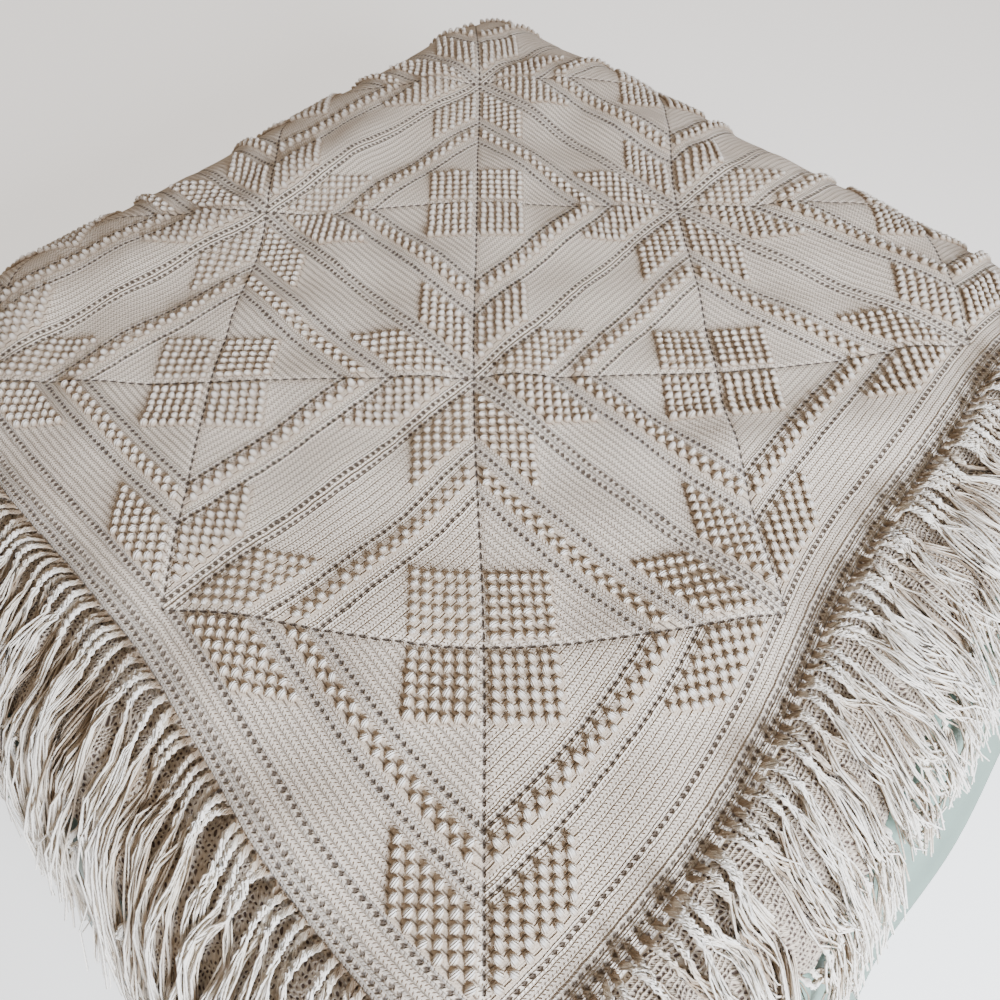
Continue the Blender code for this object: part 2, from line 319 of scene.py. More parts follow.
def mergeSeam(mesh, fillRims):  # a strip that comes round to its own start becomes one surface
    work = bmesh.new()
    work.from_mesh(mesh)
    bmesh.ops.remove_doubles(work, verts=work.verts, dist=0.0002)
    if fillRims:
        rims = [edge for edge in work.edges if edge.is_boundary]
        bmesh.ops.holes_fill(work, edges=rims, sides=0)
        bmesh.ops.triangulate(work, faces=[face for face in work.faces if len(face.verts) > 4])
    bmesh.ops.recalc_face_normals(work, faces=work.faces)
    work.to_mesh(mesh)
    work.free()
    mesh.shade_smooth()


def meshFrom(work, name):
    bmesh.ops.recalc_face_normals(work, faces=work.faces)
    mesh = bpy.data.meshes.new(name)
    work.to_mesh(mesh)
    work.free()
    return mesh


def gridMesh(name, columns, rows):  # a grid whose vertices are told apart by column and row
    work = bmesh.new()
    bmesh.ops.create_grid(work, x_segments=columns, y_segments=rows, size=1.0)
    mesh = meshFrom(work, name)
    flat = pointsOf(mesh)
    return mesh, (flat[:, 0] + 1) / 2, (flat[:, 1] + 1) / 2


def copiesOf(prototype, name, places):  # places: for each copy, where each of the prototype's vertices goes
    count, each = places.shape[:2]
    prototype.verts.index_update()
    faces = np.array([[v.index for v in face.verts] for face in prototype.faces], np.int32)
    corners = faces.shape[1]
    allFaces = (faces[None] + (np.arange(count) * each)[:, None, None]).reshape(-1)
    mesh = bpy.data.meshes.new(name)
    mesh.vertices.add(count * each)
    mesh.loops.add(len(allFaces))
    mesh.polygons.add(count * len(faces))
    mesh.loops.foreach_set("vertex_index", allFaces)
    mesh.polygons.foreach_set("loop_start", np.arange(0, len(allFaces), corners, dtype=np.int32))
    setPoints(mesh, places)
    mesh.validate()
    return mesh


# Crochet cotton: mercerised cotton worked in ribbed rows; matte, with small shadows between its stitches,
# both made by its bumps and painted into its colour
crochet = {
    "light": "#FCF1E1",
    "mid": "#D7C6B0",
    # painted shade in the valleys, in the stitches' pits and round the bobbles
    "valleyShade": "#80694F",
    # painted shade seen through the eyelets and the seams' slits
    "shadedHole": "#5F5143",
    "bump": 0.9,
    "bumpDistance": 0.0028,
    "roughness": 0.88,
    "sheen": 0.15,
    "wobble": 0.0055,  # how far the rows wander, in squares
    "wobbleScale": 28.0,
    "fuzzScale": 900.0,
    "washScale": 7.0,
    "puff": 0.0026,  # how far the cloth stands up under the bobbles
    "sink": 0.001,
    "eyeletRows": (0.75, 9.0, 14.0),  # in a square, in ribs from its spine
    "borderRows": (2.75, 4.0, 5.25),  # in the border; the middle one is staggered
}


def crochetMaterial():
    made, tree = newMaterial("crochetCottonWorkedInRibs")
    uv, known = charted(tree, "pattern", "a", "b")
    wobble = addNode(
        tree,
        "ShaderNodeTexNoise",
        {"Vector": uv, "Scale": crochet["wobbleScale"], "Detail": 1.0},
    )
    wobbles = addNode(tree, "ShaderNodeSeparateXYZ", {0: wobble.outputs["Color"]})
    for letter, output in zip("ABC", wobbles.outputs):
        name = "wobble" + letter
        known[name] = output
        mathSteps(tree, known, ((name, "SUBTRACT", name, 0.5),))
    steps = (
        ("a", "MULTIPLY_ADD", "wobbleA", crochet["wobble"], "a"),
        ("b", "MULTIPLY_ADD", "wobbleB", crochet["wobble"], "b"),
        ("fa", "PINGPONG", "a", 0.5),  # distance to the nearest spine, one way and the other
        ("fb", "PINGPONG", "b", 0.5),
        ("near", "MINIMUM", "fa", "fb"),
        ("alongB", "LESS_THAN", "fa", "fb"),
        ("ma", "SUBTRACT", "a", patternMiddle),
        ("mb", "SUBTRACT", "b", patternMiddle),
        ("ga", "ABSOLUTE", "ma"),
        ("gb", "ABSOLUTE", "mb"),
        ("most", "MAXIMUM", "ga", "gb"),
        ("outside", "SUBTRACT", "most", squaresReach),
        ("inBorder", "GREATER_THAN", "outside", 0.0),
        ("borderAlongB", "GREATER_THAN", "ga", "gb"),
        ("across", "SUBTRACT", "outside", "near"),
        ("d", "MULTIPLY_ADD", "inBorder", "across", "near"),
        ("k", "MULTIPLY", "d", ribs),  # rows from the spine, counted in ribs
        ("turned", "SUBTRACT", "borderAlongB", "alongB"),
        ("alongB", "MULTIPLY_ADD", "inBorder", "turned", "alongB"),
        ("ba", "SUBTRACT", "b", "a"),
        ("along", "MULTIPLY_ADD", "alongB", "ba", "a"),
        ("n", "MULTIPLY", "along", ribs),  # stitches along the row, counted in ribs
    )
    mathSteps(tree, known, steps)
    steps = (
        # a rib is two rows between thin valleys, with a bright chain line beside each valley
        ("ribWave", "PINGPONG", "k", 0.5),  # 0 in a valley, 0.5 in a rib's middle
        ("rib", "MULTIPLY", "ribWave", 5.0),
        ("rib", "MINIMUM", "rib", 1.0),
        ("edge", "SUBTRACT", "ribWave", 0.14),
        ("edge", "ABSOLUTE", "edge"),
        ("edge", "MULTIPLY_ADD", "edge", -9.0, 1.0),
        ("edge", "MAXIMUM", "edge", 0.0),
        # the stitches: a slanted pit between each two, leaning one way on each row
        ("rowCount", "MULTIPLY", "k", 2.0),
        ("rowNumber", "FLOOR", "rowCount"),
        ("odd", "PINGPONG", "rowNumber", 1.0),
        ("inRow", "FRACT", "rowCount"),
        ("inRow", "SUBTRACT", "inRow", 0.5),
        ("leanWay", "MULTIPLY_ADD", "odd", -0.9, 0.45),
        ("leaning", "MULTIPLY", "inRow", "leanWay"),
        ("stitch", "MULTIPLY_ADD", "n", 2.0, "leaning"),
        ("stitch", "MULTIPLY_ADD", "odd", 0.5, "stitch"),
        ("stitch", "PINGPONG", "stitch", 0.5),  # 0 in a pit
        ("pit", "MULTIPLY", "stitch", 5.2),
        ("pit", "POWER", "pit", 2.0),
        ("pitLong", "MULTIPLY", "inRow", 2.6),
        ("pitLong", "MULTIPLY", "pitLong", "pitLong"),
        ("pit", "ADD", "pit", "pitLong"),
        ("pit", "SUBTRACT", 1.35, "pit"),
        ("pit", "MAXIMUM", "pit", 0.0),
        ("pit", "MINIMUM", "pit", 1.0),
        ("stitch", "MULTIPLY", "stitch", 2.0),
    )
    mathSteps(tree, known, steps)
    steps = (
        # where the bobbles stand: at the stars, in two rows between eyelets, in four blocks in the middle
        ("sideStar", "PINGPONG", "along", 0.5),
        ("sideStar", "MULTIPLY", "sideStar", ribs),
        ("sideStar", "SUBTRACT", "sideStar", "k"),
        ("g1", "COMPARE", "k", 4.5, 3.1),
        ("g2", "COMPARE", "sideStar", 7.0, 6.1),
        ("star", "MULTIPLY", "g1", "g2"),
        ("band", "COMPARE", "k", 11.5, 1.1),
        ("m", "SUBTRACT", 0.5, "fa"),
        ("q", "SUBTRACT", 0.5, "fb"),
        ("p", "ADD", "m", "q"),
        ("p", "MULTIPLY", "p", ribs / 2),
        ("q", "SUBTRACT", "m", "q"),
        ("q", "ABSOLUTE", "q"),
        ("q", "MULTIPLY", "q", ribs / 2),
        ("g1", "COMPARE", "p", 3.5, 3.0),
        ("g2", "COMPARE", "q", 3.5, 3.0),
        ("centre", "MULTIPLY", "g1", "g2"),
        ("group", "MAXIMUM", "star", "band"),
        ("group", "MAXIMUM", "group", "centre"),
        ("squares", "SUBTRACT", 1.0, "inBorder"),
        ("group", "MULTIPLY", "group", "squares"),
    )
    mathSteps(tree, known, steps)
    for letter, rows in (("e", crochet["eyeletRows"]), ("f", crochet["borderRows"])):
        for number, row in enumerate(rows, 1):
            away = letter + str(number)
            mathSteps(tree, known, ((away, "SUBTRACT", "k", row), (away, "ABSOLUTE", away)))
    steps = (
        # eyelets: the distance to the nearest row of them
        ("e", "MINIMUM", "e1", "e2"),
        ("e", "MINIMUM", "e", "e3"),
        ("f", "MINIMUM", "f1", "f3"),
        ("stagger", "LESS_THAN", "f2", "f"),
        ("f", "MINIMUM", "f", "f2"),
        ("fe", "SUBTRACT", "f", "e"),
        ("row", "MULTIPLY_ADD", "inBorder", "fe", "e"),
        ("stagger", "MULTIPLY", "stagger", "inBorder"),
        ("shifted", "MULTIPLY_ADD", "stagger", 0.5, "n"),
        ("beside", "PINGPONG", "shifted", 0.5),  # 0 at an eyelet's middle
        ("rowPart", "MULTIPLY", "row", 3.3),
        ("besidePart", "MULTIPLY", "beside", 3.6),
        ("row2", "POWER", "rowPart", 1.6),
        ("beside2", "POWER", "besidePart", 1.6),
        ("shadedHole", "ADD", "row2", "beside2"),
        ("uneven", "MULTIPLY_ADD", "wobbleC", 1.6, 1.0),
        ("shadedHole", "MULTIPLY", "shadedHole", "uneven"),
    )
    mathSteps(tree, known, steps)
    # the eyelets are openings, painted dark as the shade seen through them
    shadedHole = addNode(
        tree,
        "ShaderNodeMapRange",
        {"Value": known["shadedHole"], "From Min": 0.25, "From Max": 1.7, "To Min": 1.0, "To Max": 0.0},
        interpolation_type="SMOOTHSTEP",
    )
    known["shadedHoles"] = shadedHole.outputs[0]
    steps = (
        # the chain lines that stand up on both sides of an eyelet row
        ("chain", "SUBTRACT", "row", 0.46),
        ("chain", "ABSOLUTE", "chain"),
        ("chain", "MULTIPLY_ADD", "chain", -7.0, 1.0),
        ("chain", "MAXIMUM", "chain", 0.0),
        # the whipped seams on the squares' diagonals
        ("seam", "SUBTRACT", "fa", "fb"),
        ("seam", "ABSOLUTE", "seam"),
        ("seam", "MULTIPLY", "seam", ribs * 0.7071),
        ("outer", "MULTIPLY", "inBorder", 9.0),
        ("seam", "ADD", "seam", "outer"),
        ("seamAlong", "ADD", "fa", "fb"),
        ("seamAlong", "MULTIPLY", "seamAlong", ribs / 2),
        ("dash", "PINGPONG", "seamAlong", 0.5),
        ("dash", "POWER", "dash", 3.0),
        ("dash", "MULTIPLY", "dash", 3.2),
        ("slit", "ADD", "seam", "dash"),
    )
    mathSteps(tree, known, steps)
    slit = addNode(
        tree,
        "ShaderNodeMapRange",
        {"Value": known["slit"], "From Min": 0.1, "From Max": 0.24, "To Min": 1.0, "To Max": 0.0},
        interpolation_type="SMOOTHSTEP",
    )
    known["slits"] = slit.outputs[0]
    steps = (
        # the painted shade in the border's eyelets is a little lighter
        ("lighter", "MULTIPLY_ADD", "inBorder", -0.12, 1.0),
        ("shadedHoles", "MULTIPLY", "shadedHoles", "lighter"),
        # eyelets and slits together: where their painted shade goes
        ("dark", "MAXIMUM", "shadedHoles", "slits"),
        ("ditch", "MULTIPLY", "seam", 1.2),
        ("ditch", "MINIMUM", "ditch", 1.0),
        ("pitKeep", "MULTIPLY_ADD", "group", -0.85, 1.0),
        ("pit", "MULTIPLY", "pit", "pitKeep"),
        ("height", "MULTIPLY", "rib", 0.8),
        ("height", "MULTIPLY_ADD", "edge", 0.35, "height"),
        ("height", "MULTIPLY_ADD", "pit", -0.5, "height"),
        ("height", "MULTIPLY_ADD", "chain", 0.9, "height"),
        ("height", "MULTIPLY_ADD", "ditch", 0.8, "height"),
        ("height", "MULTIPLY_ADD", "dark", -1.2, "height"),
        # painted light and shade: darker in the valleys, the pits and round the bobbles, lighter on the
        # ribs' middles, their edges and the chain lines
        ("tone", "MULTIPLY_ADD", "rib", 0.35, 0.38),
        ("tone", "MULTIPLY_ADD", "pit", -0.62, "tone"),
        ("tone", "MULTIPLY_ADD", "edge", 0.14, "tone"),
        ("tone", "MULTIPLY_ADD", "chain", 0.4, "tone"),
        ("tone", "MULTIPLY_ADD", "group", -0.3, "tone"),
    )
    mathSteps(tree, known, steps)
    place = addNode(tree, "ShaderNodeTexCoord")
    at = place.outputs["Object"]
    fuzz = addNode(tree, "ShaderNodeTexNoise", {"Vector": at, "Scale": crochet["fuzzScale"], "Detail": 2.0})
    wash = addNode(tree, "ShaderNodeTexNoise", {"Vector": at, "Scale": crochet["washScale"], "Detail": 3.0})
    ramp = addNode(tree, "ShaderNodeValToRGB", {0: known["tone"]})
    setStops(ramp, (0.05, crochet["valleyShade"]), (0.42, crochet["mid"]), (0.95, crochet["light"]))
    washRange = addNode(
        tree,
        "ShaderNodeMapRange",
        {"Value": wash.outputs[0], "From Min": 0.3, "From Max": 0.7, "To Min": 0.94, "To Max": 1.04},
    )
    washed = addNode(
        tree,
        "ShaderNodeHueSaturation",
        {"Color": ramp.outputs[0], "Value": washRange.outputs[0]},
    )
    known["fuzz"] = fuzz.outputs[0]
    mathSteps(tree, known, (("height", "MULTIPLY_ADD", "fuzz", 0.25, "height"),))
    finishCloth(tree, washed.outputs[0], known["height"], crochet, known["dark"])
    return made


def reliefAt(a, b):  # the cloth stands up under the bobbles and sinks along its seams
    fromA, fromB = np.abs(a - np.round(a)) * ribs, np.abs(b - np.round(b)) * ribs
    k, along = np.minimum(fromA, fromB), np.maximum(fromA, fromB)
    band = np.exp(-(((k - 11.5) / 1.8) ** 2)) * smooth((along - k) / 2)
    star = smooth((k - 1) / 1.5) * smooth((8.3 - k) / 1.5)
    star = star * smooth((along - k - 0.5) / 1.5) * smooth((13.5 - along + k) / 1.5)
    p, q = (ribs - fromA - fromB) / 2, np.abs(fromA - fromB) / 2
    centre = smooth(p / 1.3) * smooth((7.2 - p) / 1.2) * smooth(q / 1.3) * smooth((7.2 - q) / 1.2)
    inSquares = np.maximum(np.abs(a - patternMiddle), np.abs(b - patternMiddle)) < squaresReach
    raised = (1.4 * band + np.maximum(star, centre)) * inSquares
    return crochet["puff"] * raised - crochet["sink"] * np.exp(-((k - 0.3) ** 2))


def crochetPanel(material):
    cells = 150
    mesh, a, b = gridMesh("crochetPanel", cells, cells)
    a = patternLow + (patternHigh - patternLow) * a
    b = patternLow + (patternHigh - patternLow) * b
    radius = pattern["cornerRadius"] / pattern["square"]
    inner = (patternHigh - patternLow) / 2 - radius
    # the corners are drawn in to a rounded outline
    overA = np.maximum(np.abs(a - patternMiddle) - inner, 0)
    overB = np.maximum(np.abs(b - patternMiddle) - inner, 0)
    pull = np.maximum(overA, overB) / np.maximum(np.hypot(overA, overB), 1e-9)
    a = a - np.sign(a - patternMiddle) * overA * (1 - pull)
    b = b - np.sign(b - patternMiddle) * overB * (1 - pull)
    s, t = onBed(a, b)
    place, _, _, normal = surfaceAt(s, t)
    setPoints(mesh, place + normal * reliefAt(a, b)[:, None])
    addUV(mesh, "pattern", np.stack([a, b], -1))
    piece = addPiece("crochetPanel", mesh, material)
    thicken(piece, bed["thickness"])
    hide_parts("crochet_panel")
    return piece


# Bobbles: five long stitches drawn together, so each is an oval lump of upright strands
bobble = {
    "length": 0.0122,
    "width": 0.0113,
    "height": 0.0082,
    "lean": 0.0036,  # away from the spine
    "taper": 0.3,
    "stand": 0.0012,  # off the cloth
    "cutBelow": -0.6,  # the part inside the cloth isn't made
    "turnSpread": 0.18,
    "sizeSpread": 0.06,
    "tint": (0.86, 0.14),  # the least, and how much more by chance
    "sides": 6,
    "rings": 5,
    "seed": 7,
    # painted shade: the bobbles are painted darker from the crown down to the foot
    "footShade": "#8F7A64",
    "flank": "#CBBAA4",
    "crown": "#FBF5EA",
    "bump": 0.9,
    "bumpDistance": 0.0014,
    "roughness": 0.85,
    "sheen": 0.15,
}


def bobblePlaces():  # whole-number chart positions of every bobble, with the way its rows run
    across = int(round(ribs))
    half = across // 2
    inSquare = []
    for m in range(-half, half + 1):
        for n in range(-half, half + 1):
            if (m + n) % 2:
                continue
            k, along = min(abs(m), abs(n)), max(abs(m), abs(n))
            star = 2 <= k <= 7 and 2 <= along - k <= 12
            band = k in (11, 12) and along - k >= 1
            p, q = abs(2 * half - abs(m) - abs(n)) / 2, abs(abs(m) - abs(n)) / 2
            centre = 1 <= p <= 6 and 1 <= q <= 6 and k > 14
            if star or band or centre:
                inSquare.append((m, n, 1 if abs(m) < abs(n) else 0))
    places = []
    for i in range(-pattern["far"], pattern["near"] + 1):
        for j in range(-pattern["far"], pattern["near"] + 1):
            for m, n, alongB in inSquare:
                a, b = i + m / across, j + n / across
                inside = -pattern["far"] < a < pattern["near"] and -pattern["far"] < b < pattern["near"]
                if inside:
                    places.append((a, b, alongB))
    return np.unique(np.round(np.array(places), 6), axis=0)


def bobbles(name, material, spots):
    rng = np.random.default_rng(bobble["seed"])
    count = len(spots)
    work = bmesh.new()
    bmesh.ops.create_uvsphere(work, u_segments=bobble["sides"], v_segments=bobble["rings"], radius=1.0)
    below = [v for v in work.verts if v.co.z < bobble["cutBelow"]]
    bmesh.ops.delete(work, geom=below, context="VERTS")
    bmesh.ops.triangulate(work, faces=work.faces)
    work.verts.index_update()
    work.faces.sort(key=lambda face: sum(2**v.index for v in face.verts))  # the operator's order varies
    shape = np.array([v.co[:] for v in work.verts])
    a, b, alongB = spots.T
    s, t = onBed(a, b)
    place, alongS, alongT, normal = surfaceAt(s, t)
    place = place + normal * reliefAt(a, b)[:, None]
    rows = np.where(alongB[:, None] > 0.5, alongT, alongS)  # the way the row runs
    towards = np.where(alongB > 0.5, np.sign(a - np.round(a)), -np.sign(b - np.round(b)))
    across = np.cross(rows, normal)
    sideways = np.where((across * np.where(alongB[:, None] > 0.5, alongS, alongT)).sum(-1) > 0, 1.0, -1.0)
    across = across * (sideways * towards)[:, None]  # away from the spine
    twist = rng.normal(0, bobble["turnSpread"], count)
    forward = across * np.cos(twist)[:, None] + rows * np.sin(twist)[:, None]
    side = np.cross(normal, forward)
    size = 1 + rng.normal(0, bobble["sizeSpread"], count)
    lean = bobble["lean"] * (0.6 + 0.8 * rng.random(count))
    x, y, z = shape.T
    swell = np.clip(z, 0, 1)
    length = bobble["length"] / 2 * size[:, None] * y
    width = bobble["width"] / 2 * size[:, None] * x * (1 - bobble["taper"] * np.clip(y, 0, 1))
    height = bobble["height"] * size[:, None] * (z * 0.9) + bobble["stand"]
    length = length + lean[:, None] * swell
    places = (
        place[:, None]
        + forward[:, None] * length[..., None]
        + side[:, None] * width[..., None]
        + normal[:, None] * height[..., None]
    )
    mesh = copiesOf(work, name, places)
    work.free()
    # painted shade by height on each bobble; the tint varies it by chance
    tint = bobble["tint"][0] + bobble["tint"][1] * rng.random((count, 1))
    addValue(mesh, "shade", (z[None] * tint).reshape(-1))
    addUV(mesh, "stitch", np.tile(np.stack([x, y], -1), (count, 1)))
    return addPiece(name, mesh, material)


def bobbleMaterial():
    made, tree = newMaterial("crochetCottonDrawnIntoBobbles")
    shade = addNode(tree, "ShaderNodeAttribute", attribute_name="shade")
    _, known = charted(tree, "stitch", "x", "y")
    steps = (
        ("strand", "MULTIPLY", "x", 2.5),  # five strands side by side
        ("strand", "PINGPONG", "strand", 0.5),
        ("strand", "MULTIPLY", "strand", 2.0),
    )
    mathSteps(tree, known, steps)
    ramp = addNode(tree, "ShaderNodeValToRGB", {0: shade.outputs["Fac"]})
    setStops(ramp, (0.0, bobble["footShade"]), (0.4, bobble["flank"]), (0.85, bobble["crown"]))
    finishCloth(tree, ramp.outputs[0], known["strand"], bobble)
    return made


# The sheet: plain woven cotton dyed sage green, washed soft, so its colour is a little uneven
sheet = {
    "dark": "#60786C",
    "light": "#769183",
    "washScale": 5.0,
    "weaveScale": 1200.0,
    "bump": 0.3,
    "bumpDistance": 0.0005,
    "roughness": 0.8,
    "sheen": 0.2,
}


def sageMaterial():
    made, tree = newMaterial("plainWovenCottonSheet")
    place = addNode(tree, "ShaderNodeTexCoord")
    at = place.outputs["Object"]
    wash = addNode(tree, "ShaderNodeTexNoise", {"Vector": at, "Scale": sheet["washScale"], "Detail": 3.0})
    weave = addNode(tree, "ShaderNodeTexNoise", {"Vector": at, "Scale": sheet["weaveScale"], "Detail": 1.0})
    ramp = addNode(tree, "ShaderNodeValToRGB", {0: wash.outputs[0]})
    setStops(ramp, (0.3, sheet["dark"]), (0.7, sheet["light"]))
    finishCloth(tree, ramp.outputs[0], weave.outputs[0], sheet)
    return made


# The panel's outline, and how the trimmings on it leave the cloth
hem = {"droop": 0.35, "droopStart": 0.12, "droopRise": 0.1}
sideLength = pattern["square"] * (patternHigh - patternLow) - 2 * pattern["cornerRadius"]
cornerLength = math.pi / 2 * pattern["cornerRadius"]
outlineLength = 4 * (sideLength + cornerLength)


def outlineAt(distance):  # the edge's flat place that far round, and the way out from it
    distance = np.mod(distance, outlineLength)
    side = np.floor(distance / (sideLength + cornerLength))
    rest = distance - side * (sideLength + cornerLength)
    turn = np.clip((rest - sideLength) / pattern["cornerRadius"], 0, math.pi / 2)
    half = sideLength / 2
    out, along = half + pattern["cornerRadius"] * np.cos(turn), np.minimum(rest, sideLength) - half
    along = along + pattern["cornerRadius"] * np.sin(turn)
    angle = side * math.pi / 2
    outA, outB = np.cos(turn + angle), np.sin(turn + angle)
    a = patternMiddle + (out * np.cos(angle) - along * np.sin(angle)) / pattern["square"]
    b = patternMiddle + (out * np.sin(angle) + along * np.cos(angle)) / pattern["square"]
    s, t = onBed(a, b)
    return s, t, outA, -outB


def trimmed(distance, out, lift):  # a place out beyond the edge, and lift above the cloth's own line
    s, t, outS, outT = outlineAt(distance)
    place, _, _, normal = surfaceAt(s + outS * out, t + outT * out)
    drop = draped(s, t)[..., 2] - place[..., 2]
    level = 1 - np.minimum(1, np.abs(drop) / np.maximum(np.abs(out), 1e-4))
    over = np.maximum(np.abs(s) - bed["flatX"], 0) + np.maximum(np.abs(t) - bed["flatY"], 0)
    place = place + normal * np.asarray(lift)[..., None]
    place[..., 2] -= hem["droop"] * out * level * smooth((over - hem["droopStart"]) / hem["droopRise"])
    return place


def unit(vectors):
    return vectors / np.maximum(np.linalg.norm(vectors, axis=-1, keepdims=True), 1e-9)


def rod(points, sides):  # a tube along z, ring by ring; its rings are moved to a yarn's path later
    work = bmesh.new()
    ring = bmesh.ops.create_circle(work, cap_ends=False, segments=sides, radius=1.0)["verts"]
    edges = list({edge for vert in ring for edge in vert.link_edges})
    for _ in range(points - 1):
        grown = bmesh.ops.extrude_edge_only(work, edges=edges)["geom"]
        ring = [g for g in grown if isinstance(g, bmesh.types.BMVert)]
        edges = [g for g in grown if isinstance(g, bmesh.types.BMEdge) and all(v in ring for v in g.verts)]
        bmesh.ops.translate(work, vec=(0, 0, 1), verts=ring)
    bmesh.ops.recalc_face_normals(work, faces=work.faces)
    return work


def strandMesh(name, paths, radii, tones, sides=3):  # every array: strand, then point along it
    count, points = paths.shape[:2]
    work = rod(points, sides)
    shape = np.array([v.co[:] for v in work.verts])
    level = np.round(shape[:, 2]).astype(int)
    along = np.empty_like(paths)
    along[:, 1:-1] = paths[:, 2:] - paths[:, :-2]
    along[:, 0] = paths[:, 1] - paths[:, 0]
    along[:, -1] = paths[:, -1] - paths[:, -2]
    along = unit(along)
    whole = unit(paths[:, -1] - paths[:, 0])
    flat = unit(np.cross(whole, np.array([0.31, 0.22, 0.92])))
    first = unit(np.cross(along, np.cross(flat, along[:, :1].mean(1))[:, None] + 1e-4))
    second = np.cross(along, first)
    around = first[:, level] * shape[None, :, 0:1] + second[:, level] * shape[None, :, 1:2]
    places = paths[:, level] + around * radii[:, level][..., None]
    mesh = copiesOf(work, name, places)
    steps = np.linalg.norm(np.diff(paths, axis=1), axis=-1)
    lengths = np.concatenate([np.zeros((count, 1)), np.cumsum(steps, axis=1)], axis=1)
    turn = np.arctan2(shape[:, 1], shape[:, 0]) / (2 * math.pi)
    addUV(mesh, "yarn", np.stack([lengths[:, level], np.tile(turn, (count, 1))], -1).reshape(-1, 2))
    addValue(mesh, "tone", tones[:, level].reshape(-1))
    work.free()
    return mesh


# The flounce: an openwork frill sewn under the border, rippled because it is longer than the edge
flounce = {
    "start": 0.0,
    "depth": 0.134,
    "lift": 0.0002,
    "ripple": 0.0125,
    "rippleStart": 0.07,  # how far out it takes to reach its full height
    "cell": 0.008,
    "fullness": 1.15,
    "thickness": 0.0022,
    "stitch": 0.62,  # the openwork's stitch and row, in the panel's ribs
    "row": 0.55,
    "unevenScale": 42.0,
    # painted shade: the frill's cotton is painted darker than the panel's, as it lies in the fringe's
    # shade, and darker still towards its openings
    "dark": "#8A7763",
    "light": "#CFC0AC",
    # painted shade seen through the lace's openings
    "shadedHole": "#54443A",
    "bump": 0.8,
    "bumpDistance": 0.0016,
    "roughness": 0.9,
    "sheen": 0.15,
}


def rippleAt(distance, out):
    turns = 2 * math.pi * distance  # two sizes of wave, each wandering in its pitch
    wave = np.sin(turns / 0.0872 + 1.9 * np.sin(turns / 0.71))
    wave = wave + 0.45 * np.sin(turns / 0.0411 + 1.3 * np.sin(turns / 0.43))
    return flounce["ripple"] * (0.5 + 0.34 * wave) * smooth(out / flounce["rippleStart"])


def laceFlounce(material):
    columns = int(outlineLength / flounce["cell"])
    rows = int(flounce["depth"] / flounce["cell"])
    mesh, u, v = gridMesh("laceFlounce", columns, rows)
    distance = u * outlineLength
    out = flounce["start"] + v * flounce["depth"]
    setPoints(mesh, trimmed(distance, out, flounce["lift"] + rippleAt(distance, out)))
    addUV(mesh, "lace", np.stack([distance * flounce["fullness"], v * flounce["depth"]], -1))
    piece = addPiece("laceFlounce", mesh, material)
    mergeSeam(mesh, False)
    thicken(piece, flounce["thickness"])
    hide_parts("lace_flounce")
    return piece


def laceMaterial():
    made, tree = newMaterial("openworkCrochetCotton")
    uv, known = charted(tree, "lace", "u", "v")
    noise = {"Vector": uv, "Scale": flounce["unevenScale"], "Detail": 2.0}
    known["uneven"] = addNode(tree, "ShaderNodeTexNoise", noise).outputs[0]
    steps = (
        ("pull", "SUBTRACT", "uneven", 0.5),
        ("n", "DIVIDE", "u", pattern["unit"] * flounce["stitch"]),
        ("n", "MULTIPLY_ADD", "pull", 3.4, "n"),
        ("k", "DIVIDE", "v", pattern["unit"] * flounce["row"]),
        ("k", "MULTIPLY_ADD", "pull", -3.0, "k"),
        ("line", "FLOOR", "k"),
        ("odd", "PINGPONG", "line", 1.0),
        ("shift", "MULTIPLY_ADD", "odd", 0.5, "n"),
        ("across", "PINGPONG", "shift", 0.5),
        ("inLine", "FRACT", "k"),
        ("inLine", "SUBTRACT", "inLine", 0.5),
        ("across2", "POWER", "across", 2.0),
        ("inLine2", "MULTIPLY", "inLine", "inLine"),
        ("away", "ADD", "across2", "inLine2"),
        # a zigzag of larger openings on a close ground
        ("zig", "PINGPONG", "n", 4.0),
        ("zag", "SUBTRACT", "k", "zig"),
        ("zag", "PINGPONG", "zag", 2.0),
        ("open", "LESS_THAN", "zag", 1.0),
        ("size", "MULTIPLY_ADD", "open", 0.075, 0.02),
        ("shadedHole", "DIVIDE", "away", "size"),
        ("knot", "MULTIPLY", "away", 5.0),
        ("strand", "ADD", "n", "k"),
        ("strand", "MULTIPLY", "strand", 2.0),
        ("strand", "PINGPONG", "strand", 0.5),
    )
    mathSteps(tree, known, steps)
    # the openings are painted dark as the shade seen through them
    shadedHole = addNode(
        tree,
        "ShaderNodeMapRange",
        {"Value": known["shadedHole"], "From Min": 0.6, "From Max": 1.3, "To Min": 1.0, "To Max": 0.0},
        interpolation_type="SMOOTHSTEP",
    )
    known["shadedHoles"] = shadedHole.outputs[0]
    steps = (
        ("height", "MULTIPLY_ADD", "strand", 0.8, "knot"),
        ("height", "MULTIPLY_ADD", "shadedHoles", -1.5, "height"),
        # painted light and shade: lighter on the strands and knots, darker towards the holes
        ("tone", "MULTIPLY_ADD", "strand", 0.6, "knot"),
    )
    mathSteps(tree, known, steps)
    ramp = addNode(tree, "ShaderNodeValToRGB", {0: known["tone"]})
    setStops(ramp, (0.1, flounce["dark"]), (0.8, flounce["light"]))
    finishCloth(tree, ramp.outputs[0], known["height"], flounce, known["shadedHoles"])
    return made


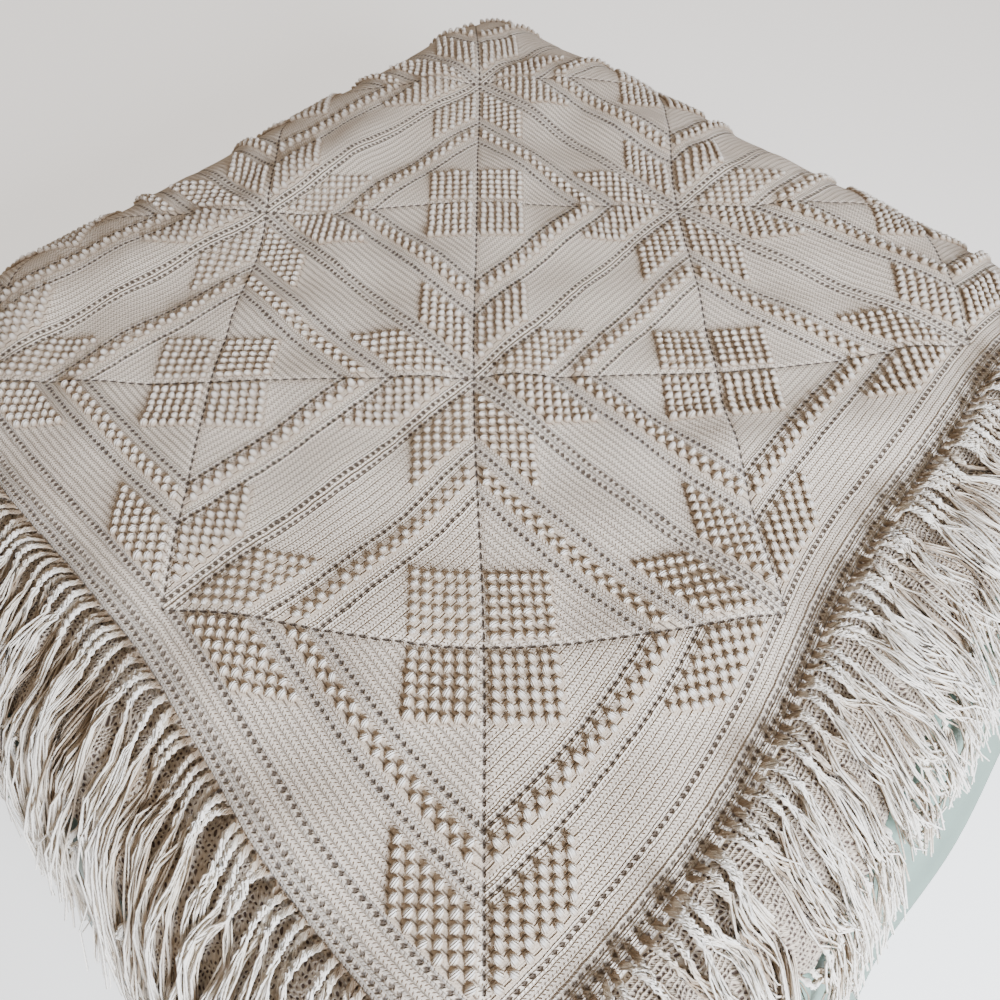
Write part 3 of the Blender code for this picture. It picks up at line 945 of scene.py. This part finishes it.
# The fringes: tassels of loose yarn, twisted where they are knotted on, then falling apart
upperFringe = {
    "pitch": 0.0128,
    "strands": 10,
    "length": 0.215,
    "start": -0.009,  # out from the panel's edge
    "lift": 0.010,  # off the cloth's own line
    "layer": 0.010,  # how far one tassel may lie above another
    "radius": 0.00122,
    "core": 0.0036,  # of the twist, and the width once the yarns fall apart
    "bundle": 0.0088,
    "twistLength": 0.036,
    "turns": 1.7,
    "cornerExtra": 6,  # more tassels, crowded in at each corner
    "seed": 21,
}
lowerFringe = {
    "pitch": 0.019,
    "strands": 9,
    "length": 0.122,
    "start": 0.128,
    "lift": 0.004,
    "layer": 0.004,
    "radius": 0.00122,
    "core": 0.0030,
    "bundle": 0.0068,
    "twistLength": 0.018,
    "turns": 1.0,
    "cornerExtra": 3,
    "seed": 34,
}
# How far the tassels lie aslant, towards the near corner, as a share of their length
sweep = {"near": 0.45, "nearReach": 0.55, "left": -0.55, "corner": 0.1}
# How the yarns lie in every tassel; sway, waveShare and width are for the +X side and for the rest
tassel = {
    "jitter": 0.16,  # unevenness of the pitch
    "lockChance": 0.45,  # neighbours gather into locks: the chance that a new one begins
    "gather": 0.4,
    "lockSway": (0.03, 0.016),
    "sway": (0.015, 0.008),
    "bow": 0.006,
    "arch": 0.006,  # how high the yarns rise off the knot
    "lengthSpread": 0.08,
    "shortest": 0.2,  # how much shorter the shortest yarn is
    "wave": (0.004, 0.005),  # this and the next two: the least, and how much more by chance
    "waveLength": (0.09, 0.06),
    "ownWaveLength": (0.06, 0.04),
    "waveShare": (1.5, 0.95),
    "ownWave": 0.0016,
    "width": (1.1, 0.82),
    "endCurl": (0.008, 0.0055),
    "endRise": 0.004,
}
yarnLook = {
    # painted shade on the yarns lying low in a tassel
    "deepShade": "#A08B72",
    "mid": "#E3D6C2",
    "light": "#FAF4E8",
    "twists": 180.0,  # of its plies, in a metre
    "bump": 0.5,
    "bumpDistance": 0.0006,
    "roughness": 0.85,
    "sheen": 0.2,
}


def sweepAt(home):
    corner = sideLength + cornerLength / 2
    right = sweep["near"] * smooth((home - corner + sweep["nearReach"]) / sweep["nearReach"])
    left = sweep["left"] * (1 - 0.5 * smooth((home - corner - 1.2) / 0.5))
    return np.where(home < corner, right, np.where(home < outlineLength / 2, left, 0)) * (
        smooth(np.abs(home - corner) / sweep["corner"])
    )


def tasselPaths(make, marks):
    rng = np.random.default_rng(make["seed"])
    count = int(round(outlineLength / make["pitch"]))
    strands = make["strands"]
    home = (np.arange(count) + 0.5 + tassel["jitter"] * rng.normal(0, 1, count)) * outlineLength / count
    corners = (np.arange(4)[:, None] + 1) * outlineLength / 4 - cornerLength / 2
    extra = corners + cornerLength * (rng.random((4, make["cornerExtra"])) - 0.5)
    home = np.sort(np.concatenate([home, extra.reshape(-1)]))
    count = len(home)
    lockOf = np.cumsum(rng.random(count) < tassel["lockChance"])
    lockMiddle = np.bincount(lockOf, home) / np.maximum(np.bincount(lockOf), 1)
    gather = (lockMiddle[lockOf] - home) * tassel["gather"]
    onRight = home < sideLength
    lockSway = rng.normal(0, 1, lockOf[-1] + 1)[lockOf] * np.where(onRight, *tassel["lockSway"])
    sway = lockSway + rng.normal(0, 1, count) * np.where(onRight, *tassel["sway"])
    bow = rng.normal(0, tassel["bow"], count)
    phase = rng.random(count) * 2 * math.pi
    height = make["lift"] + make["layer"] * rng.random(count)
    length = make["length"] * (1 + tassel["lengthSpread"] * rng.normal(0, 1, count).clip(-2, 0.9))
    waveSize = tassel["wave"][0] + tassel["wave"][1] * rng.random(count)
    waveSize = waveSize * np.where(onRight, *tassel["waveShare"])
    waveLength = tassel["waveLength"][0] + tassel["waveLength"][1] * rng.random(count)
    u = np.array(marks)[None, None]
    shape = (count, strands, 1)

    def each(values):
        return values[:, None, None]

    ownLength = each(length) * (1 - tassel["shortest"] * rng.random(shape) ** 3)
    run = ownLength * u
    twistShare = make["twistLength"] / make["length"]
    loose = smooth((u - 0.8 * twistShare) / 0.25)
    tip = smooth((u - 0.68) / 0.32)
    turn = 2 * math.pi * (np.arange(strands)[None, :, None] / strands) + each(phase)
    turn = turn + 2 * math.pi * make["turns"] * np.minimum(u / twistShare, 1.5)
    core = make["core"] * (1 - loose)
    around = rng.random(shape) * 2 * math.pi
    reach = np.sqrt(rng.random(shape))
    ownLengths = tassel["ownWaveLength"][0] + tassel["ownWaveLength"][1] * rng.random(shape)
    own = tassel["ownWave"] * np.sin(2 * math.pi * run / ownLengths + rng.random(shape) * 2 * math.pi)
    wide = make["bundle"] * (0.75 + 0.8 * u) * np.where(each(onRight), *tassel["width"])
    curl = rng.normal(0, tassel["endCurl"][0], shape) * tip
    curl = curl + rng.normal(0, tassel["endCurl"][1], shape) * np.sin(12 * u + around) * tip
    common = each(waveSize) * np.sin(2 * math.pi * run / each(waveLength) + each(phase))
    side = each(gather) * smooth(u / 0.55) + each(sway) * u**1.4
    side = side + each(sweepAt(home)) * run * (0.35 + 0.65 * u)
    side = side + each(bow) * np.sin(math.pi * np.minimum(u / 0.3, 1)) + core * np.cos(turn)
    side = side + loose * (wide * reach * np.cos(around) + common + own) + curl
    rise = each(height) + tassel["arch"] * np.sin(math.pi * np.minimum(u / 0.22, 1)) + core * np.sin(turn)
    rise = rise + loose * (0.6 * wide * reach * np.sin(around) + 0.5 * common + own)
    rise = rise + np.abs(rng.normal(0, tassel["endRise"], shape)) * tip
    rise = np.maximum(rise, 0.0016 + 0.4 * make["lift"])
    rise = rise - (make["lift"] + 0.002) * smooth((0.05 - u) / 0.05)
    distance = each(home) + side
    # painted shade: yarns lying lower in a tassel, and those in its twist, are darker; each yarn and tassel
    # also varies by chance
    depth = (rise - make["lift"]) / (make["layer"] + 0.006)
    depth = depth + 0.14 * rng.normal(0, 1, shape) - 0.06 * (1 - loose)
    depth = depth + each(0.13 * rng.normal(0, 1, count))
    paths = trimmed(distance, make["start"] + run, rise)
    radii = np.broadcast_to(make["radius"] * (0.85 + 0.3 * rng.random(shape)), distance.shape)
    return home, paths, radii, np.clip(depth, 0, 1)


upperMarks = (0, 0.025, 0.05, 0.08, 0.11, 0.145, 0.19, 0.25, 0.325, 0.405, 0.49, 0.58, 0.67, 0.77, 0.88, 1)
lowerMarks = (0.0, 0.06, 0.12, 0.19, 0.3, 0.44, 0.58, 0.72, 0.86, 1.0)


def fringePieces(name, make, marks, material, node):
    home, paths, radii, tone = tasselPaths(make, marks)
    side = np.floor(home / (outlineLength / 4)).astype(int).clip(0, 3)
    made = []
    for quarter in range(4):
        own = side == quarter
        chosen = [values[own].reshape(-1, *values.shape[2:]) for values in (paths, radii, tone)]
        mesh = strandMesh(name + str(quarter + 1), *chosen)
        piece = addPiece(name + str(quarter + 1), mesh, material)
        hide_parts(node)
        made.append(piece)
    return made


def yarnMaterial():
    made, tree = newMaterial("pliedCottonYarn")
    tone = addNode(tree, "ShaderNodeAttribute", attribute_name="tone")
    _, known = charted(tree, "yarn", "length", "turn")
    steps = (
        ("ply", "MULTIPLY_ADD", "length", yarnLook["twists"], "turn"),
        ("ply", "PINGPONG", "ply", 0.5),
        ("ply", "MULTIPLY", "ply", 2.0),
    )
    mathSteps(tree, known, steps)
    ramp = addNode(tree, "ShaderNodeValToRGB", {0: tone.outputs["Fac"]})
    setStops(ramp, (0.02, yarnLook["deepShade"]), (0.3, yarnLook["mid"]), (0.75, yarnLook["light"]))
    finishCloth(tree, ramp.outputs[0], known["ply"], yarnLook)
    return made


# The bed's own cover, a thick one under a sage sheet, with soft creases where it hangs
cover = {
    "columns": 220,
    "rows": 44,
    "crease": 0.006,
    "creases": 21,
    "cornerShare": 0.3,  # of each quarter of the columns, fanned out round a corner
    "hemGap": 0.005,
    "fill": 0.9,
}


def coverReach(angle):  # how far the cover runs down that way
    radius, slope = sideShape(np.cos(angle), np.sin(angle), angle)
    depth = bed["height"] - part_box("bed_base")[1][2] - cover["hemGap"] - radius * (1 - np.cos(slope))
    return radius * slope + depth / np.sin(slope)


def bedCover(material):
    mesh, u, v = gridMesh("bedCover", cover["columns"], cover["rows"])
    # round the bed: the four flat sides, and the four corners fanned out
    sides = 4 * u
    side = np.minimum(np.floor(sides), 3)
    part = sides - side
    cornerShare = cover["cornerShare"]
    turn = np.clip((part - (1 - cornerShare)) / cornerShare, 0, 1) * math.pi / 2
    along = np.clip(part / (1 - cornerShare), 0, 1) * 2 - 1
    angle = side * math.pi / 2 + turn
    flatS, flatT = np.empty_like(u), np.empty_like(u)
    for quarter, (signS, signT, alongS) in enumerate(((1, 1, 0), (-1, 1, 1), (-1, -1, 0), (1, -1, 1))):
        own = side == quarter
        flatS[own] = signS * bed["flatX"]
        flatT[own] = signT * bed["flatY"]
        if alongS:
            flatS[own] = np.where(turn[own] > 0, signS, signS * along[own]) * bed["flatX"]
        else:
            flatT[own] = np.where(turn[own] > 0, signT, signT * along[own]) * bed["flatY"]
    over = coverReach(angle) * v
    s = flatS + over * np.cos(angle)
    t = flatT + over * np.sin(angle)
    s = np.where(np.abs(flatS) < bed["flatX"] - 1e-6, flatS, s)
    t = np.where(np.abs(flatT) < bed["flatY"] - 1e-6, flatT, t)
    place, facing, _ = bentSide(s, t, 0.0, 0.0)
    place[..., 2] += bed["height"]
    crease = np.sin(2 * math.pi * (cover["creases"] * u + 0.35 * np.sin(8 * math.pi * u)))
    crease = cover["crease"] * (crease - 1) * smooth((v - 0.3) / 0.5)
    setPoints(mesh, place + facing * crease[:, None])
    piece = addPiece("bedCover", mesh, material)
    mergeSeam(mesh, True)
    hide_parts("bed_cover")
    return piece


# The camera looks down over the near corner of the bed
view = {"place": (0.482, -0.477, 0.762), "azimuth": 133.98, "pitch": -59.82, "lens": 25.2}


def addCamera():
    data = bpy.data.cameras.new("camera")
    data.lens = view["lens"]
    data.sensor_width = 36.0
    data.clip_start = 0.05
    camera = addObject("camera", data)
    top = bed["height"] + bed["topClearance"] + bed["thickness"] + bed["lift"]
    camera.location = (view["place"][0], view["place"][1], top + view["place"][2])
    azimuth, pitch = math.radians(view["azimuth"]), math.radians(view["pitch"])
    level = math.cos(pitch)
    ahead = Vector((math.cos(azimuth) * level, math.sin(azimuth) * level, math.sin(pitch)))
    camera.rotation_euler = ahead.to_track_quat("-Z", "Y").to_euler()
    bpy.context.scene.camera = camera


studio = {
    "floor": "#FAF9F7",
    "floorSize": 30.0,
    "floorGlow": 0.95,
    "sky": "#FFE5CB",
    "skyStrength": 0.35,
    "lamps": (  # name, place, aimed at, size, watts, colour
        ("window", (2.4, -0.6, 1.85), (0.1, -0.1, 0.6), 0.9, 208, "#E9F1FF"),
        ("back", (-1.4, 2.9, 2.6), (0.0, 0.0, 0.6), 1.6, 12, "#FFFFFF"),
    ),
}


def addStudio():
    work = bmesh.new()
    bmesh.ops.create_grid(work, x_segments=1, y_segments=1, size=studio["floorSize"])
    bmesh.ops.translate(work, vec=(0, 0, cadBox[0][2] - 0.001), verts=work.verts)
    mesh = bpy.data.meshes.new("floor")
    work.to_mesh(mesh)
    work.free()
    floor = addObject("floor", mesh)
    made, tree = newMaterial("paleMattFloor")
    inputs = {
        "Base Color": linear(studio["floor"]),
        "Roughness": 0.9,
        "Emission Color": linear(studio["floor"]),
        "Emission Strength": studio["floorGlow"],
    }
    shader = addNode(tree, "ShaderNodeBsdfPrincipled", inputs)
    addNode(tree, "ShaderNodeOutputMaterial", {"Surface": shader.outputs[0]})
    mesh.materials.append(made)
    world = bpy.data.worlds.new("studio")
    world.use_nodes = True
    background = world.node_tree.nodes["Background"]
    background.inputs[0].default_value = linear(studio["sky"])
    background.inputs[1].default_value = studio["skyStrength"]
    bpy.context.scene.world = world
    for name, place, aim, size, watts, colour in studio["lamps"]:
        light = bpy.data.lights.new(name, "AREA")
        light.color = linear(colour)[:3]
        light.energy = watts
        light.size = size
        lamp = addObject(name, light)
        lamp.location = place
        lamp.rotation_euler = (Vector(aim) - Vector(place)).to_track_quat("-Z", "Y").to_euler()


panel = crochetPanel(crochetMaterial())
print("panel made")
raised = bobbleMaterial()
spots = bobblePlaces()
for row in range(-pattern["far"], pattern["near"]):  # a piece for each row of squares
    own = (spots[:, 1] >= row) & (spots[:, 1] < row + 1)
    bobbles("bobbles" + str(row + pattern["far"] + 1), raised, spots[own])
print("bobbles made", len(spots))
frill = laceFlounce(laceMaterial())
print("flounce made")
yarn = yarnMaterial()
upperPieces = fringePieces("upperFringe", upperFringe, upperMarks, yarn, "upper_fringe")
lowerPieces = fringePieces("lowerFringe", lowerFringe, lowerMarks, yarn, "lower_fringe")
print("fringes made")
sage = sageMaterial()
bedding = bedCover(sage)
baseNode = bpy.data.objects["bed_base"]
baseNode.data.materials.clear()
baseNode.data.materials.append(sage)
print("bed made")
addCamera()
addStudio()
print("camera and studio made")
